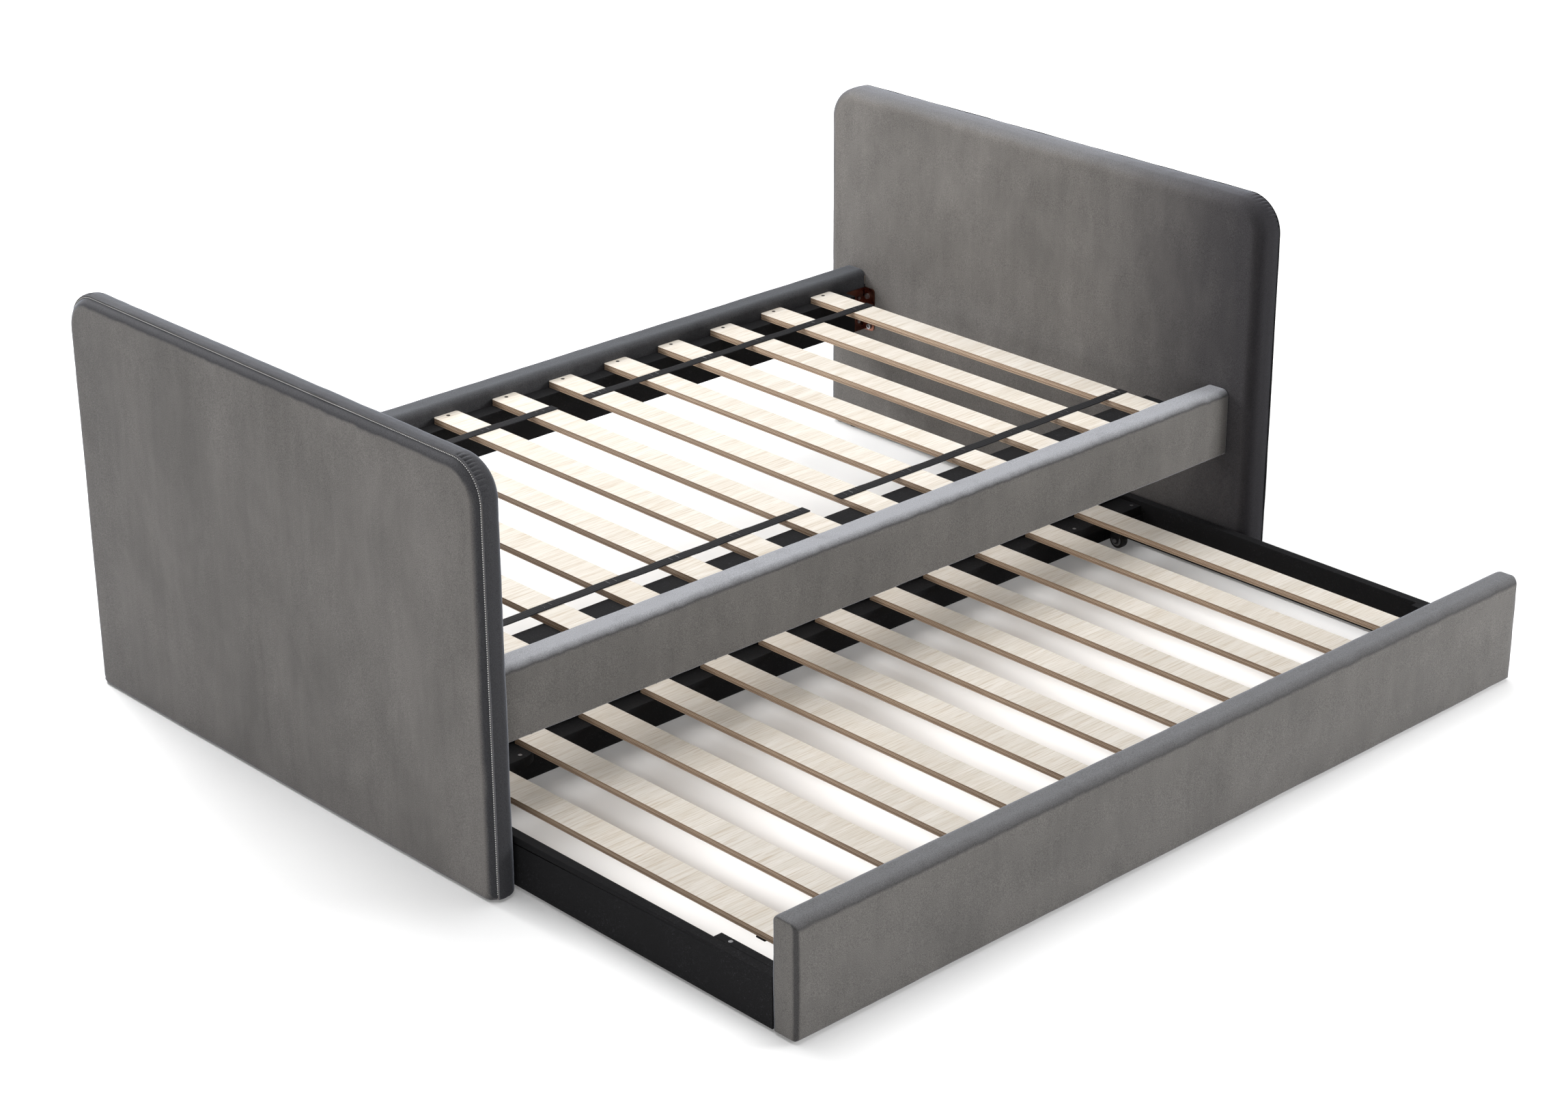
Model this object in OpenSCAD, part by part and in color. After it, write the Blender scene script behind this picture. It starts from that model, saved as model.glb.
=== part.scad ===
// Twin trundle bed: two upholstered end boards joined by side rails, a slatted base, and a
// slatted trundle that rolls out of the open side on four fixed casters.
// X runs from the footboard to the headboard, the trundle comes out toward -Y, and Z is up.
// The origin is on the floor at the centre of the whole footprint, trundle drawn out.

/* [End boards] */
// Clear length between the footboard and the headboard
inner_len = 1930; // [1900:5:1980]
// Width of the footboard
foot_w = 1226; // [1210:2:1280]
// Width of the headboard
head_w = 1240; // [1226:2:1280]
// Height of the footboard and of the headboard
board_h = 810; // [740:5:900]
// Thickness of the footboard and of the headboard
board_t = 62; // [56:1:76]
// Radius of the boards' top corners
board_r = 75; // [50:1:110]

/* [Side rails] */
// Thickness of a side rail
rail_t = 60; // [54:1:66]
// Height of a side rail
rail_h = 142; // [136:1:160]
// Height of a rail's underside above the floor
rail_z = 260; // [250:1:290]
// Width of the bed over the two rails' outer faces
rails_w = 1122; // [1110:1:1130]

/* [Slats] */
// Number of slats in each of the two packs of a base
pack_count = 6; // [4:1:6]
// Width of a slat
slat_w = 61; // [50:1:66]
// Thickness of a slat
slat_t = 13; // [10:1:15]
// Distance from one slat to the next
slat_pitch = 151.4; // [140:0.2:152]
// How far the slats sit from mid-length toward the footboard
slat_shift = 11.5; // [0:0.5:14]

/* [Trundle] */
// How far the trundle stands drawn out of the bed
trundle_out = 734; // [600:1:900]
// Depth of the trundle, front face to back board
trundle_depth = 1015; // [980:5:1020]
// Thickness of the upholstered front panel
panel_t = 57; // [50:1:62]
// Height of the front panel's top edge above the floor
panel_top = 220; // [200:1:240]
// Height of the trundle slats' top face above the floor
trundle_slat_z = 105; // [100:1:115]

/* [Casters] */
// Wheel radius
wheel_r = 18.5; // [16:0.5:20]
// Wheel width
wheel_w = 18; // [14:1:20]

/* [Hidden] */
$fn = 64;
eps = 0.01;

CORNERS = ["front_foot", "front_head", "back_foot", "back_head"];

// Colours
VELVET = [0.43, 0.42, 0.42];
FOAM = [0.93, 0.90, 0.80];
TIMBER = [0.80, 0.66, 0.47];
SLAT = [0.90, 0.85, 0.76];
BLACK = [0.09, 0.09, 0.10];
WEBBING = [0.17, 0.17, 0.18];
STEEL = [0.72, 0.72, 0.74];
BRONZE = [0.42, 0.27, 0.22];
GREY = [0.55, 0.56, 0.58];

// End board layers, from the outside in
glide_t = 3;
velvet_t = 1.5;
foam_t = 8.5;
skin_t = 3;
core_inset = velvet_t + foam_t;
floor_r = 12;
face_inset = 14;
frame_member = 60;
bolt_post_y = 440;
frame_mid_z = rail_z + rail_h / 2;

// Side rails
rail_out_y = rails_w / 2;
rail_in_y = rail_out_y - rail_t;
rail_pad = 5;
rail_top_pad = 14;
rail_top_r = 14;
rail_low_r = 6;
liner_t = 1;
liner_h = 106;
liner_margin = 2;

// Slatted base
bed_slat_z = rail_z + 118;
slat_gap = 2;
bed_slat_len = 2 * rail_in_y - slat_gap;
cleat_len = 1790;
cleat_z = bed_slat_z - slat_t;
back_cleat_w = 39;
back_cleat_h = 85;
front_cleat_w = 101;
front_cleat_h = 40;
slat_screw_inset = 11;
slat_r = 5;

// Straps and staples
strap_w = 24;
strap_t = 2;
strap_y = 372;
strap_over = 4;
staple_w = 11;
staple_wire = 1;
staple_leg = 8;
staple_step = 16;

// Corner brackets and their bolts
bracket_t = 3;
bracket_z = rail_z + 2;
bracket_h = 100;
bracket_rail_leg = 65;
bracket_board_leg = 32;
bracket_r = 8;
bolt_r = 4;
bolt_len = 36;
bolt_hole_len = 44;
bolt_head_r = 6.5;
bolt_head_h = 4;
bolt_socket_r = 2.9;
bolt_socket_depth = 2.5;
bolt_fit = 0.3;
// Each bolt in a corner: distance in from the rail's inner face, height above the bracket's foot
BOLTS = [[12, 81], [18, 10]];
// Each bracket's wood screws: distance from the board's face, height above the bracket's foot
BRACKET_SCREWS = [[22, 22], [22, 78], [46, 50]];
nut_r = 6;
nut_len = 18;
nut_depth = 14;

// Trundle box
clear = 5;
trundle_front_y = -rail_out_y - trundle_out;
panel_back_y = trundle_front_y + panel_t;
trundle_back_y = trundle_front_y + trundle_depth;
panel_len = inner_len - 2 * clear;
panel_z = 5;
panel_pad = 6;
panel_r = 12;
board_thick = 20;
side_x = panel_len / 2 - 2;
side_z = 5;
side_h = 97;
side_in_x = side_x - board_thick;
back_board_h = 110;
ledge_t = 18;
ledge_w = 45;
ledge_z = trundle_slat_z - slat_t - ledge_t;
back_in_y = trundle_back_y - board_thick;
trundle_slat_len = back_in_y - panel_back_y - slat_gap;
trundle_cleat_len = 1696;
trundle_cleat_w = 40;
back_block_len = 238;
back_block_w = 61;
back_block_t = 20;
back_block_r = 50;
front_block_w = 17;
front_block_len = 159;
front_block_screw = 128;
under_strap_w = 22;
under_strap_t = 3;
under_strap_y = panel_back_y + 115;

// Casters: a plate, two cheeks, a pin and a two-piece wheel
caster_top = 50;
plate_t = 2;
plate_x = 44;
plate_y = 50;
cheek_t = 2;
cheek_gap = 0.8;
cheek_r = 8;
axle_r = 3;
axle_fit = 0.05;
axle_head_r = 4.5;
axle_head_t = 2;
hub_r = wheel_r - 6;
hub_recess = 3;
tyre_round = 3;
front_caster_x = 908;
front_caster_y = panel_back_y + 88;
front_block_z = 66;
back_caster_x = 900;
back_caster_y = back_in_y - 36;
caster_block_y = 60;
caster_screw_dx = 17;
caster_screw_dy = 19;

// Screws: [head radius, head height, shank radius, length]
SLAT_SCREW = [4, 2.5, 1.8, 28];
CLEAT_SCREW = [4.5, 3, 2.2, 70];
BRACKET_SCREW = [4, 2.2, 2, 28];
BLOCK_SCREW = [4, 2.5, 1.8, 18];
CORNER_SCREW = [4.5, 3, 2.2, 50];
CASTER_SCREW = [3.5, 2, 1.8, 14];
screw_fit = 0.2;
cleat_screw_grip = 41;

// The footprint's middle, which the frame's origin sits under
mid_y = (trundle_front_y + head_w / 2) / 2;

module placed() {
    translate([0, -mid_y, 0]) children();
}

// Both ends of something that is the same at the footboard and at the headboard
module both_ends() {
    children();
    mirror([1, 0, 0]) children();
}

// Both long sides of the bed
module both_sides() {
    children();
    mirror([0, 1, 0]) children();
}

module rounded_rect(w, h, r) {
    translate([r, 0]) square([w - 2 * r, h]);
    translate([0, r]) square([w, h - 2 * r]);
    for (x = [r, w - r], y = [r, h - r]) {
        translate([x, y]) circle(r);
    }
}

// A screw with its head's top face at z = 0, pointing down; a positive slack makes its hole
module screw(size, slack = 0) {
    translate([0, 0, -size[1] - slack]) cylinder(h = size[1] + slack, r = size[0] + slack);
    translate([0, 0, -size[3]]) cylinder(h = size[3] - size[1], r = size[2] + slack / 2);
}

// Clearance hole for a screw whose head stays outside
module screw_shank(size) {
    translate([0, 0, -size[3]]) cylinder(h = size[3], r = size[2] + screw_fit / 2);
}

// ---------------------------------------------------------------- end boards

// Outline of an end board, width across and height up, standing on y = 0
module board_outline(w, h, top_r, low_r) {
    translate([-w / 2, low_r]) square([w, h - top_r - low_r]);
    translate([-w / 2 + top_r, h / 2]) square([w - 2 * top_r, h / 2]);
    translate([-w / 2 + low_r, 0]) square([w - 2 * low_r, h / 2]);
    for (side = [-1, 1]) {
        translate([side * (w / 2 - top_r), h - top_r]) circle(top_r);
        translate([side * (w / 2 - low_r), low_r]) circle(low_r);
    }
}

// A slab of an end board of width w, from one depth to another behind its inner face
module board_layer(w, inset, from, to) {
    low_r = max(floor_r - inset, 3);
    translate([inner_len / 2 + from, 0, glide_t + inset])
        rotate([90, 0, 90])
            linear_extrude(to - from)
                board_outline(w - 2 * inset, board_h - glide_t - 2 * inset,
                              board_r - inset, low_r);
}

// The bolts' holes through the headboard
module board_bolt_holes() {
    both_sides() {
        for (b = BOLTS) {
            translate([inner_len / 2, rail_in_y - b[0], bracket_z + b[1]])
                rotate([0, 90, 0])
                    translate([0, 0, -eps]) cylinder(h = bolt_hole_len, r = bolt_r + bolt_fit);
        }
    }
}

module nut_places() {
    both_sides() {
        for (b = BOLTS) {
            translate([inner_len / 2 + nut_depth, rail_in_y - b[0], bracket_z + b[1]])
                rotate([0, 90, 0]) children();
        }
    }
}

// Timber frame with four windows, wide posts where the rails bolt on
module board_frame(w) {
    window_y0 = frame_member / 2;
    low_z = glide_t + core_inset + frame_member;
    top_z = board_h - core_inset - frame_member;
    difference() {
        board_layer(w, core_inset, core_inset + skin_t, board_t - core_inset - skin_t);
        for (z = [[low_z, frame_mid_z - frame_member], [frame_mid_z + frame_member, top_z]]) {
            both_sides() translate([inner_len / 2, window_y0, z[0]])
                cube([board_t, bolt_post_y - window_y0, z[1] - z[0]]);
        }
        board_bolt_holes();
        nut_places() cylinder(h = nut_len, r = nut_r);
    }
}

// Two thin plywood skins, one on each side of the frame
module board_skins(w) {
    difference() {
        union() {
            board_layer(w, core_inset, core_inset, core_inset + skin_t);
            board_layer(w, core_inset, board_t - core_inset - skin_t, board_t - core_inset);
        }
        board_bolt_holes();
    }
}

module board_foam(w) {
    difference() {
        board_layer(w, velvet_t, velvet_t, board_t - velvet_t);
        board_layer(w, core_inset, core_inset, board_t - core_inset);
        board_bolt_holes();
    }
}

// Sewn cover: the inner face and the border band, open where the outer panel goes
module board_cover(w) {
    difference() {
        board_layer(w, 0, 0, board_t);
        board_layer(w, velvet_t, velvet_t, board_t - velvet_t);
        board_outer_panel(w);
        board_bolt_holes();
    }
}

module board_outer_panel(w) {
    board_layer(w, face_inset, board_t - velvet_t, board_t);
}

module at_footboard() {
    mirror([1, 0, 0]) children();
}

module footboard_frame() { color(TIMBER) at_footboard() board_frame(foot_w); }
module footboard_skins() { color(TIMBER) at_footboard() board_skins(foot_w); }
module footboard_foam() { color(FOAM) at_footboard() board_foam(foot_w); }
module footboard_cover() { color(VELVET) at_footboard() board_cover(foot_w); }
module footboard_face() { color(VELVET) at_footboard() board_outer_panel(foot_w); }
module headboard_frame() { color(TIMBER) board_frame(head_w); }
module headboard_skins() { color(TIMBER) board_skins(head_w); }
module headboard_foam() { color(FOAM) board_foam(head_w); }
module headboard_cover() { color(VELVET) board_cover(head_w); }
module headboard_backing() { color(BLACK) board_outer_panel(head_w); }

// Nylon glides nailed under the boards' corners
module floor_glides() {
    glide_r = 13;
    nail_r = 1.5;
    nail_len = 18;
    glide_in = 60;
    color(BLACK)
        for (end = [[-1, foot_w], [1, head_w]]) {
            both_sides() translate([end[0] * (inner_len + board_t) / 2, end[1] / 2 - glide_in, 0]) {
                cylinder(h = glide_t, r = glide_r);
                cylinder(h = glide_t + nail_len, r = nail_r);
            }
        }
}

// Threaded inserts in the boards' posts
module insert_nuts() {
    color(STEEL)
        both_ends() nut_places() difference() {
            cylinder(h = nut_len, r = nut_r);
            translate([0, 0, -eps]) cylinder(h = nut_len + 2 * eps, r = bolt_r + bolt_fit);
        }
}

// ---------------------------------------------------------------- side rails

// Runs an outline drawn in Y and Z along the bed, centred on its length
module along_bed(len) {
    rotate([90, 0, 90]) linear_extrude(len, center = true) children();
}

// Outline of a padded rail: large rounds along the top, small ones underneath
module rail_outline() {
    translate([rail_in_y, rail_z + rail_low_r]) square([rail_t, rail_h - rail_top_r - rail_low_r]);
    translate([rail_in_y + rail_top_r, rail_z + rail_h / 2])
        square([rail_t - 2 * rail_top_r, rail_h / 2]);
    translate([rail_in_y + rail_low_r, rail_z]) square([rail_t - 2 * rail_low_r, rail_h / 2]);
    for (y = [rail_in_y + rail_top_r, rail_out_y - rail_top_r]) {
        translate([y, rail_z + rail_h - rail_top_r]) circle(rail_top_r);
    }
    for (y = [rail_in_y + rail_low_r, rail_out_y - rail_low_r]) {
        translate([y, rail_z + rail_low_r]) circle(rail_low_r);
    }
}

module rail_core_outline() {
    translate([rail_in_y + liner_t, rail_z + rail_pad])
        square([rail_t - liner_t - rail_pad, rail_h - rail_pad - rail_top_pad]);
}

module rail_liner_outline() {
    translate([rail_in_y, rail_z + liner_margin]) square([liner_t, liner_h]);
}

module rail_core() {
    along_bed(inner_len) rail_core_outline();
}

module rail_liner() {
    along_bed(inner_len) rail_liner_outline();
}

// Padded velvet wrapped over the rail's top, outer face and underside, down to the liner inside
module rail_cover() {
    along_bed(inner_len) difference() {
        rail_outline();
        rail_core_outline();
        rail_liner_outline();
    }
}

module at_front() {
    mirror([0, 1, 0]) children();
}

module front_rail_core() { color(TIMBER) at_front() rail_core(); }
module front_rail_cover() { color(VELVET) at_front() rail_cover(); }
module front_rail_liner() { color(BLACK) at_front() rail_liner(); }
module back_rail_core() { color(TIMBER) rail_core(); }
module back_rail_cover() { color(VELVET) rail_cover(); }
module back_rail_liner() { color(BLACK) rail_liner(); }

// Screws that hold a cleat to its rail, heads sunk into the cleat's inner face
module cleat_screw_row(cleat_w, cleat_h, slack = 0) {
    count = 6;
    head_y = rail_in_y - min(cleat_w, cleat_screw_grip);
    for (i = [0 : count - 1]) {
        x = (i - (count - 1) / 2) * cleat_len / count;
        translate([x, head_y, cleat_z - cleat_h / 2]) rotate([90, 0, 0]) screw(CLEAT_SCREW, slack);
    }
}

// Holes for the cleat screws, with a deep bore down to the heads on a wide cleat
module cleat_screw_holes(cleat_w, cleat_h) {
    count = 6;
    head_y = rail_in_y - min(cleat_w, cleat_screw_grip);
    cleat_screw_row(cleat_w, cleat_h, screw_fit);
    for (i = [0 : count - 1]) {
        x = (i - (count - 1) / 2) * cleat_len / count;
        translate([x, head_y + eps, cleat_z - cleat_h / 2])
            rotate([90, 0, 0]) cylinder(h = cleat_w, r = CLEAT_SCREW[0] + screw_fit);
    }
}

module cleat(cleat_w, cleat_h) {
    difference() {
        translate([-cleat_len / 2, rail_in_y - cleat_w, cleat_z - cleat_h])
            cube([cleat_len, cleat_w, cleat_h]);
        cleat_screw_holes(cleat_w, cleat_h);
        bed_slat_screws(screw_fit);
    }
}

module front_cleat() { color(BLACK) at_front() cleat(front_cleat_w, front_cleat_h); }
module back_cleat() { color(BLACK) cleat(back_cleat_w, back_cleat_h); }

module cleat_screws() {
    color(STEEL) {
        at_front() cleat_screw_row(front_cleat_w, front_cleat_h);
        cleat_screw_row(back_cleat_w, back_cleat_h);
    }
}

// ---------------------------------------------------------------- corner brackets

// One steel angle: a leg on the rail's inner face and a leg on the board's inner face
module corner_bracket() {
    inner_x = inner_len / 2;
    difference() {
        union() {
            translate([inner_x - bracket_rail_leg, rail_in_y, bracket_z])
                rotate([90, 0, 0]) linear_extrude(bracket_t)
                    rounded_rect(bracket_rail_leg, bracket_h, bracket_r);
            translate([inner_x - bracket_t, rail_in_y - bracket_board_leg, bracket_z])
                rotate([90, 0, 90]) linear_extrude(bracket_t)
                    rounded_rect(bracket_board_leg, bracket_h, bracket_r);
            translate([inner_x - bracket_r, rail_in_y - bracket_t, bracket_z])
                cube([bracket_r, bracket_t, bracket_h]);
            translate([inner_x - bracket_t, rail_in_y - bracket_r, bracket_z])
                cube([bracket_t, bracket_r, bracket_h]);
        }
        for (b = BOLTS) {
            translate([inner_x - bracket_t - 1, rail_in_y - b[0], bracket_z + b[1]])
                rotate([0, 90, 0]) cylinder(h = bracket_t + 2, r = bolt_r + bolt_fit);
        }
        bracket_screw_places() screw_shank(BRACKET_SCREW);
    }
}

module bracket_screw_places() {
    head_y = rail_in_y - bracket_t - BRACKET_SCREW[1];
    for (place = BRACKET_SCREWS) {
        translate([inner_len / 2 - place[0], head_y, bracket_z + place[1]])
            rotate([90, 0, 0]) children();
    }
}

module bracket_bolt() {
    difference() {
        union() {
            translate([0, 0, -bolt_head_h]) cylinder(h = bolt_head_h, r = bolt_head_r);
            cylinder(h = bolt_len, r = bolt_r);
        }
        translate([0, 0, -bolt_head_h - eps])
            cylinder(h = bolt_socket_depth, r = bolt_socket_r, $fn = 6);
    }
}

module corner_brackets() {
    color(BRONZE) both_ends() both_sides() corner_bracket();
}

module bracket_bolts() {
    color(STEEL)
        both_ends() both_sides()
            for (b = BOLTS) {
                translate([inner_len / 2 - bracket_t, rail_in_y - b[0], bracket_z + b[1]])
                    rotate([0, 90, 0]) bracket_bolt();
            }
}

module bracket_screws() {
    color(STEEL) both_ends() both_sides() bracket_screw_places() screw(BRACKET_SCREW);
}

// ---------------------------------------------------------------- slats

// Middle of slat i in X, counted from the footboard
function slat_x(i) = (i - pack_count + 0.5) * slat_pitch - slat_shift;

FOOT_PACK = [0 : pack_count - 1];
HEAD_PACK = [pack_count : 2 * pack_count - 1];
ALL_SLATS = [0 : 2 * pack_count - 1];
INNER_SLATS = [1 : 2 * pack_count - 2];

// A row of screws along one end of a base's slats, heads flush with the slats' top
module slat_screw_row(slats, y, top_z, slack) {
    for (i = slats) {
        translate([slat_x(i), y, top_z]) screw(SLAT_SCREW, slack);
    }
}

module bed_slat_screws(slack = 0) {
    for (side = [-1, 1]) {
        slat_screw_row(ALL_SLATS, side * (bed_slat_len / 2 - slat_screw_inset), bed_slat_z, slack);
    }
}

// The end slats' front ends only rest on the trundle's cleat
module trundle_slat_screw_rows(slack = 0) {
    front_y = panel_back_y + slat_gap / 2 + slat_screw_inset;
    back_y = back_in_y - slat_gap / 2 - slat_screw_inset;
    slat_screw_row(INNER_SLATS, front_y, trundle_slat_z, slack);
    slat_screw_row(ALL_SLATS, back_y, trundle_slat_z, slack);
}

module slat_pack(pack, y0, len, top_z) {
    for (i = pack) {
        translate([slat_x(i) - slat_w / 2, y0, top_z - slat_t])
            linear_extrude(slat_t) rounded_rect(slat_w, len, slat_r);
    }
}

module bed_slats(pack) {
    color(SLAT) difference() {
        slat_pack(pack, -bed_slat_len / 2, bed_slat_len, bed_slat_z);
        bed_slat_screws(screw_fit);
    }
}

module trundle_slats(pack) {
    color(SLAT) difference() {
        slat_pack(pack, panel_back_y + slat_gap / 2, trundle_slat_len, trundle_slat_z);
        trundle_slat_screw_rows(screw_fit);
    }
}

module foot_slats() { bed_slats(FOOT_PACK); }
module head_slats() { bed_slats(HEAD_PACK); }
module slat_screws() { color(STEEL) bed_slat_screws(); }
module trundle_foot_slats() { trundle_slats(FOOT_PACK); }
module trundle_head_slats() { trundle_slats(HEAD_PACK); }
module trundle_slat_screws() { color(STEEL) trundle_slat_screw_rows(); }

// Webbing across the top of one pack
module strap(first, y) {
    x0 = slat_x(first) - slat_w / 2 - strap_over;
    x1 = slat_x(first + pack_count - 1) + slat_w / 2 + strap_over;
    color(WEBBING)
        translate([x0, y - strap_w / 2, bed_slat_z]) cube([x1 - x0, strap_w, strap_t]);
}

module foot_front_strap() { strap(0, -strap_y); }
module foot_back_strap() { strap(0, strap_y); }
module head_front_strap() { strap(pack_count, -strap_y); }
module head_back_strap() { strap(pack_count, strap_y); }

module staple() {
    translate([-staple_wire / 2, -staple_w / 2, 0]) cube([staple_wire, staple_w, staple_wire]);
    for (side = [-1, 1]) {
        translate([-staple_wire / 2, side * (staple_w - staple_wire) / 2 - staple_wire / 2, -staple_leg])
            cube([staple_wire, staple_wire, staple_leg + eps]);
    }
}

// Three staples on a pack's end slats and two on the others
module strap_staples() {
    color(STEEL)
        for (i = ALL_SLATS, side = [-1, 1]) {
            at_pack_end = i % pack_count == 0 || i % pack_count == pack_count - 1;
            for (step = at_pack_end ? [-1, 0, 1] : [-0.5, 0.5]) {
                translate([slat_x(i) + step * staple_step, side * strap_y, bed_slat_z + strap_t])
                    staple();
            }
        }
}

// ---------------------------------------------------------------- trundle

module panel_outline(inset) {
    translate([trundle_front_y + inset, panel_z + inset])
        rounded_rect(panel_t - 2 * inset, panel_top - panel_z - 2 * inset, panel_r - inset);
}

module trundle_panel_core() {
    color(TIMBER) along_bed(panel_len - 2 * panel_pad) panel_outline(panel_pad);
}

// Padded velvet sewn round the whole panel
module trundle_panel_cover() {
    color(VELVET) difference() {
        along_bed(panel_len) panel_outline(0);
        along_bed(panel_len - 2 * panel_pad) panel_outline(panel_pad);
    }
}

module side_board() {
    difference() {
        translate([side_in_x, panel_back_y, side_z])
            cube([board_thick, trundle_depth - panel_t, side_h]);
        back_corner_screws(screw_fit);
    }
}

module trundle_head_side() { color(BLACK) side_board(); }
module trundle_foot_side() { color(BLACK) mirror([1, 0, 0]) side_board(); }

module trundle_back_board() {
    color(BLACK) difference() {
        translate([-side_in_x, back_in_y, side_z]) cube([2 * side_in_x, board_thick, back_board_h]);
        both_ends() back_corner_screws(screw_fit);
    }
}

// Two screws through each side board into the back board's end
module back_corner_screws(slack = 0) {
    for (z = [30, 80]) {
        translate([side_x, back_in_y + board_thick / 2, z])
            rotate([0, 90, 0]) screw(CORNER_SCREW, slack);
    }
}

// Ledge for the slats' back ends, between the two corner blocks
module trundle_back_ledge() {
    ledge_len = 2 * (side_in_x - back_block_len);
    color(BLACK) difference() {
        translate([-ledge_len / 2, back_in_y - ledge_w, ledge_z]) cube([ledge_len, ledge_w, ledge_t]);
        trundle_slat_screw_rows(screw_fit);
    }
}

module trundle_front_cleat() {
    color(BLACK) difference() {
        translate([-trundle_cleat_len / 2, panel_back_y, ledge_z])
            cube([trundle_cleat_len, trundle_cleat_w, ledge_t]);
        trundle_slat_screw_rows(screw_fit);
    }
}

// Corner block at the back, with a large round on its free corner
module back_block() {
    top_z = trundle_slat_z - slat_t;
    translate([side_in_x - back_block_len, back_in_y - back_block_w, top_z - back_block_t])
        linear_extrude(back_block_t) {
            translate([back_block_r, 0]) square([back_block_len - back_block_r, back_block_w]);
            translate([0, back_block_r]) square([back_block_r, back_block_w - back_block_r]);
            intersection() {
                translate([back_block_r, back_block_r]) circle(back_block_r);
                square([back_block_r + 1, back_block_r]);
            }
        }
}

module back_block_screws(slack = 0) {
    for (x = [side_in_x - back_block_len + 45, side_in_x - 12]) {
        translate([x, back_in_y - back_block_w + 15, trundle_slat_z - slat_t]) screw(BLOCK_SCREW, slack);
    }
}

module trundle_back_blocks() {
    color(BLACK) difference() {
        both_ends() difference() {
            back_block();
            back_block_screws(screw_fit);
        }
        trundle_slat_screw_rows(screw_fit);
    }
}

// Strip inside each side board's front end, level with its top
module trundle_front_blocks() {
    color(BLACK) both_ends() difference() {
        translate([side_in_x - front_block_w, panel_back_y, front_block_z])
            cube([front_block_w, front_block_len, side_z + side_h - front_block_z]);
        front_block_screws(screw_fit);
    }
}

module front_block_screws(slack = 0) {
    translate([side_in_x - front_block_w / 2, panel_back_y + front_block_screw, side_z + side_h])
        screw(BLOCK_SCREW, slack);
}

module trundle_screws() {
    color(STEEL) both_ends() {
        back_corner_screws();
        back_block_screws();
        front_block_screws();
    }
}

// Webbing that ties the slats together under their front ends
module trundle_strap() {
    x0 = slat_x(0) - slat_w / 2 - 1;
    x1 = slat_x(2 * pack_count - 1) + slat_w / 2 + 1;
    color(WEBBING)
        translate([x0, under_strap_y - under_strap_w / 2, trundle_slat_z - slat_t - under_strap_t])
            cube([x1 - x0, under_strap_w, under_strap_t]);
}

// ---------------------------------------------------------------- casters

function at_front_corner(corner) = corner == "front_foot" || corner == "front_head";
function end_sign(corner) = corner == "front_foot" || corner == "back_foot" ? -1 : 1;

// Where the wheel of each corner stands: [x, y, top of its block]
function caster_place(corner) = at_front_corner(corner)
    ? [end_sign(corner) * front_caster_x, front_caster_y, front_block_z]
    : [end_sign(corner) * back_caster_x, back_caster_y, trundle_slat_z - slat_t - back_block_t];

module at_casters(z = 0) {
    for (corner = CORNERS) {
        p = caster_place(corner);
        translate([p.x, p.y, z]) children();
    }
}

// Places of the screws that go up through a caster's plate into its block
module caster_screw_places() {
    for (x = [-1, 1], y = [-1, 1]) {
        translate([x * caster_screw_dx, y * caster_screw_dy, caster_top - plate_t - CASTER_SCREW[1]])
            mirror([0, 0, 1]) children();
    }
}

module caster_blocks() {
    color(BLACK)
        for (corner = CORNERS) {
            p = caster_place(corner);
            outer_x = end_sign(corner) * side_in_x;
            inner_x = p.x - end_sign(corner) * plate_x / 2;
            difference() {
                translate([min(outer_x, inner_x), p.y - caster_block_y / 2, caster_top])
                    cube([abs(outer_x - inner_x), caster_block_y, p.z - caster_top]);
                translate([p.x, p.y, 0]) caster_screw_places() screw_shank(CASTER_SCREW);
            }
        }
}

// One cheek of a fork: straight down from the plate, round about the axle
module cheek_outline() {
    difference() {
        union() {
            translate([0, wheel_r]) circle(cheek_r);
            polygon([[-cheek_r, wheel_r], [cheek_r, wheel_r],
                     [plate_y / 2 - 6, caster_top - plate_t], [6 - plate_y / 2, caster_top - plate_t]]);
        }
        translate([0, wheel_r]) circle(axle_r + axle_fit);
    }
}

module caster_fork() {
    inner_x = wheel_w / 2 + cheek_gap;
    difference() {
        translate([-plate_x / 2, -plate_y / 2, caster_top - plate_t]) cube([plate_x, plate_y, plate_t]);
        caster_screw_places() screw_shank(CASTER_SCREW);
    }
    for (x = [-inner_x - cheek_t, inner_x]) {
        translate([x, 0, 0]) rotate([90, 0, 90]) linear_extrude(cheek_t) cheek_outline();
    }
}

module caster_axle() {
    half = wheel_w / 2 + cheek_gap + cheek_t;
    translate([0, 0, wheel_r]) rotate([0, 90, 0]) {
        cylinder(h = 2 * half, r = axle_r, center = true);
        for (side = [-1, 1]) {
            translate([0, 0, side * (half + axle_head_t / 2)])
                cylinder(h = axle_head_t, r = axle_head_r, center = true);
        }
    }
}

module caster_forks() { color(BLACK) at_casters() caster_fork(); }
module caster_axles() { color(STEEL) at_casters() caster_axle(); }
module caster_screws() { color(STEEL) at_casters() caster_screw_places() screw(CASTER_SCREW); }

// Rubber tyre with rounded shoulders
module tyre(corner) {
    place = caster_place(corner);
    color(BLACK) translate([place.x, place.y, wheel_r])
        rotate([0, 90, 0]) rotate_extrude() translate([hub_r, -wheel_w / 2]) {
            square([wheel_r - hub_r - tyre_round, wheel_w]);
            translate([0, tyre_round]) square([wheel_r - hub_r, wheel_w - 2 * tyre_round]);
            for (y = [tyre_round, wheel_w - tyre_round]) {
                translate([wheel_r - hub_r - tyre_round, y]) circle(tyre_round);
            }
        }
}

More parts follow.
